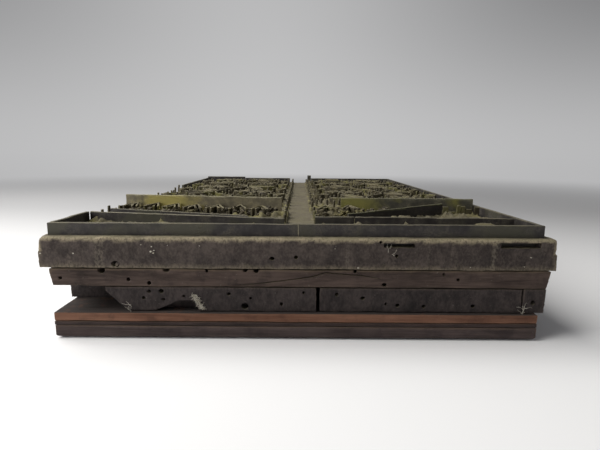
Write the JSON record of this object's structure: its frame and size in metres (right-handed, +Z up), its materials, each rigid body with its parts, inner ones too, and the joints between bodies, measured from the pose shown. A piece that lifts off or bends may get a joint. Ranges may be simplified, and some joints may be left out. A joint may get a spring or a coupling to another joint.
{
  "type": "hand printing plate",
  "caption": "Laminated wooden hand printing plate: two pattern panels of upright metal strips and pins let into the face of a layered block.",
  "frame": {"origin": "middle of the underside of the base", "axes": "+X to the right and +Y to the back as the picture sees the plate, +Z up, from the base to the printing face"},
  "size_m": [0.27, 0.4046, 0.0661],
  "materials": {
    "base_brown": "dark brown board, worn and waxy",
    "base_dark": "near-black ply, dull",
    "base_orange": "orange-brown board, worn satin",
    "core_wood": "grey-brown end grain, worm-eaten and rough",
    "middle_wood": "brown long grain, flaked and cracked",
    "face_wood": "dark grey-brown, with a paler worn edge",
    "rule_metal": "dark brown patina with a bright worn top edge",
    "bar_metal": "olive patina with yellow-green deposit",
    "strip_metal": "olive-brown patina with green deposit",
    "pin_metal": "dull olive-brown patina"
  },
  "bodies": {
    "root": {"base_bottom_board": "base_brown", "base_dark_ply": "base_dark", "base_top_board": "base_orange", "core_plank_far_left": "core_wood", "core_plank_left": "core_wood", "core_plank_right": "core_wood", "core_plank_far_right": "core_wood", "middle_board_front": "middle_wood", "middle_board_centre": "middle_wood", "middle_board_back": "middle_wood", "face_board": "face_wood", "front_rule_left": "rule_metal", "front_rule_right": "rule_metal", "left_rule_front": "rule_metal", "left_rule_back": "rule_metal", "right_rule_front": "rule_metal", "right_rule_back": "rule_metal", "back_rule_left_end": "rule_metal", "back_rule_left": "rule_metal", "back_rule_right": "rule_metal", "left_second_rule": "rule_metal", "left_third_rule": "rule_metal", "right_second_rule": "rule_metal", "right_second_rule_stub": "rule_metal", "left_crossbar": "bar_metal", "right_crossbar": "bar_metal", "loose_strip": "rule_metal", "raised_corner_post": "rule_metal", "left_chevrons": "strip_metal", "right_chevrons": "strip_metal", "side_groove_pins": "pin_metal", "right_front_posts": "pin_metal", "left_channel_pins": "pin_metal", "right_channel_pins": "pin_metal", "left_vine": "strip_metal", "left_leaves": "strip_metal", "left_leaf_veins": "strip_metal", "left_rosette_bosses": "pin_metal", "left_rosette_rings": "strip_metal", "left_rosette_petals": "strip_metal", "left_rosette_dots": "pin_metal", "left_scrolls": "strip_metal", "left_background_dots": "pin_metal", "right_vine": "strip_metal", "right_leaves": "strip_metal", "right_leaf_veins": "strip_metal", "right_rosette_bosses": "pin_metal", "right_rosette_rings": "strip_metal", "right_rosette_petals": "strip_metal", "right_rosette_dots": "pin_metal", "right_scrolls": "strip_metal", "right_background_dots": "pin_metal"}
  },
  "joints": []
}
